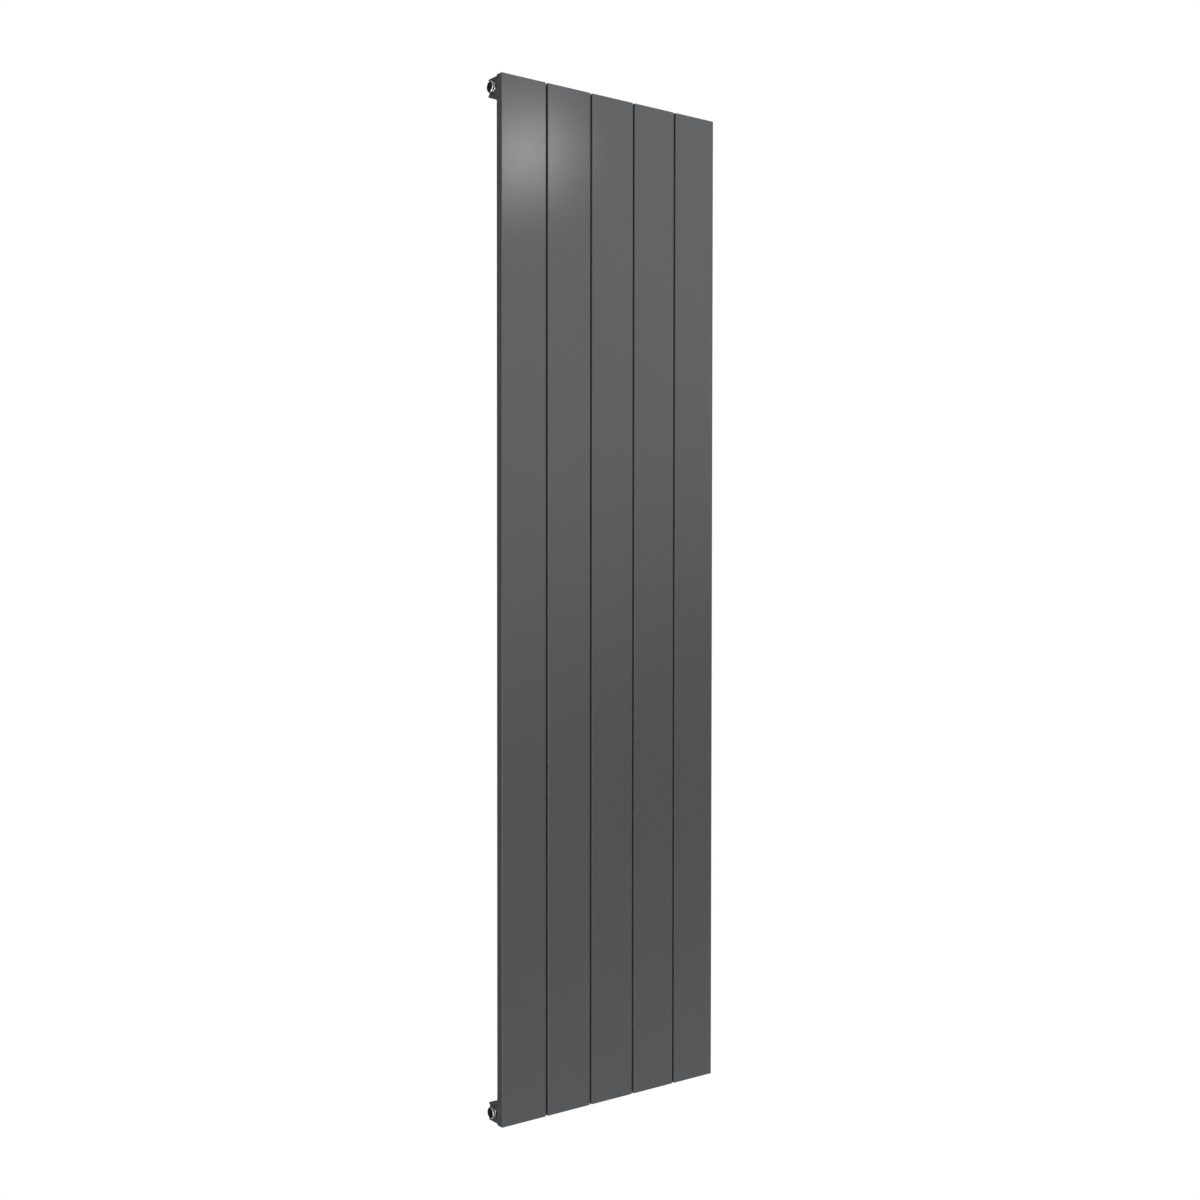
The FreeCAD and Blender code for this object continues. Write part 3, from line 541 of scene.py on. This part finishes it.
def make_surround():
    """The room's light: bright in front above the horizon and on the left, dimmer below, behind,
    on the right and in the left's steep parts, and dark at the rear left."""
    world = bpy.data.worlds.new("studio_surround")
    bpy.context.scene.world = world
    world.use_nodes = True
    tree = world.node_tree
    direction = add_node(tree, "ShaderNodeTexCoord").outputs["Generated"]
    split = add_node(tree, "ShaderNodeSeparateXYZ")
    tree.links.new(direction, split.inputs["Vector"])
    across = math_node(tree, "MINIMUM", split.outputs["X"], GLOW_TILT_END)
    tilted = math_node(tree, "SUBTRACT", split.outputs["Z"],
                       math_node(tree, "MULTIPLY", across, GLOW_TILT))
    front = add_node(tree, "ShaderNodeValToRGB")
    halved = math_node(tree, "MULTIPLY", tilted, 0.5)
    tree.links.new(math_node(tree, "ADD", halved, 0.5), front.inputs["Fac"])
    stops = front.color_ramp.elements
    stops.remove(stops[1])
    for height, glow in FRONT_GLOW:
        stop = stops.new((height + 1) / 2)
        stop.color = (glow, glow, glow, 1)
    stops.remove(stops[0])
    behind = step_between(tree, split.outputs["Y"], REAR_START, REAR_FULL, 0.0, 1.0)
    whole = add_node(tree, "ShaderNodeMix", data_type="FLOAT")
    tree.links.new(behind, whole.inputs["Factor"])
    tree.links.new(front.outputs["Color"], whole.inputs["A"])
    whole.inputs["B"].default_value = REAR_GLOW
    towards = add_node(tree, "ShaderNodeVectorMath", operation="DOT_PRODUCT")
    tree.links.new(direction, towards.inputs[0])
    towards.inputs[1].default_value = SHADE_DIRECTION
    shade = step_between(tree, towards.outputs["Value"], SHADE_OUTER, SHADE_INNER, 1.0, SHADE_GLOW)
    left = step_between(tree, split.outputs["X"], LEFT_FULL, LEFT_START, LEFT_GAIN, 1.0)
    right = step_between(tree, split.outputs["X"], RIGHT_START, RIGHT_FULL, 1.0, RIGHT_GLOW)
    level = math_node(tree, "ABSOLUTE", split.outputs["Z"])
    steep = step_between(tree, level, STEEP_START, STEEP_FULL, 0.0, 1.0 - STEEP_GLOW)
    far_left = step_between(tree, split.outputs["X"], STEEP_LEFT_FULL, STEEP_LEFT_START, 1.0, 0.0)
    dimmed = math_node(tree, "SUBTRACT", 1.0, math_node(tree, "MULTIPLY", far_left, steep))
    sides = math_node(tree, "MULTIPLY", math_node(tree, "MULTIPLY", left, right), dimmed)
    glow = math_node(tree, "MULTIPLY", math_node(tree, "MULTIPLY", whole.outputs["Result"], shade),
                     sides)
    background = tree.nodes["Background"]
    background.inputs["Color"].default_value = (1, 1, 1, 1)
    tree.links.new(glow, background.inputs["Strength"])


def aim(thing, target, roll=0.0):
    """Turns a light or camera so that it faces a point, rolled about its own axis."""
    facing = (target - thing.location).to_track_quat("-Z", "Y")
    thing.rotation_euler = (facing @ Quaternion((0, 0, 1), roll)).to_euler()


def make_camera():
    """The camera, a little to the left of the radiator at about mid-height."""
    data = bpy.data.cameras.new("camera")
    data.lens = CAMERA_LENS
    data.sensor_width = CAMERA_SENSOR
    camera = bpy.data.objects.new("camera", data)
    forward = Vector((math.sin(CAMERA_YAW) * math.cos(CAMERA_PITCH),
                      math.cos(CAMERA_YAW) * math.cos(CAMERA_PITCH), -math.sin(CAMERA_PITCH)))
    camera.location = CAMERA_TARGET - forward * CAMERA_DISTANCE
    aim(camera, CAMERA_TARGET, CAMERA_ROLL)
    bpy.context.collection.objects.link(camera)
    bpy.context.scene.camera = camera
    return camera


def make_highlight(camera):
    """A lamp that throws the soft round glow near the top left."""
    spot = Vector((LEFT_X + PANEL_WIDTH * HIGHLIGHT_ACROSS, FRONT_Y, PANEL_TOP - HIGHLIGHT_DROP))
    bounce = (spot - camera.location).normalized()
    bounce.y = -bounce.y
    data = bpy.data.lights.new("glow_lamp", "SPOT")
    data.energy = HIGHLIGHT_POWER
    data.spot_size = HIGHLIGHT_SPREAD
    data.spot_blend = 1.0
    data.shadow_soft_size = HIGHLIGHT_SIZE
    lamp = bpy.data.objects.new("glow_lamp", data)
    lamp.location = spot + bounce * HIGHLIGHT_DISTANCE
    aim(lamp, spot)
    bpy.context.collection.objects.link(lamp)


def make_edge_light():
    """The tall soft light. It adds to reflections only."""
    data = bpy.data.lights.new("edge_light", "AREA")
    data.shape = "RECTANGLE"
    data.size = EDGE_LIGHT_WIDTH
    data.size_y = EDGE_LIGHT_LENGTH
    data.energy = EDGE_LIGHT_GLOW * math.pi * EDGE_LIGHT_WIDTH * EDGE_LIGHT_LENGTH
    lamp = bpy.data.objects.new("edge_light", data)
    middle = Vector((LEFT_X, FRONT_Y, EDGE_LIGHT_HEIGHT))
    lamp.location = middle + EDGE_LIGHT_DIRECTION * EDGE_LIGHT_DISTANCE
    aim(lamp, middle)
    lamp.visible_camera = False
    lamp.visible_diffuse = False
    bpy.context.collection.objects.link(lamp)


def make_studio():
    """The surround, floor, camera and lamps, with colours shown as they are."""
    make_surround()
    make_backdrop()
    make_floor()
    make_highlight(make_camera())
    make_edge_light()
    bpy.context.scene.view_settings.view_transform = "Standard"


materials = make_materials()
paint_nodes(materials)
make_welded_caps(materials)
make_ring_ribs(materials)
make_studio()
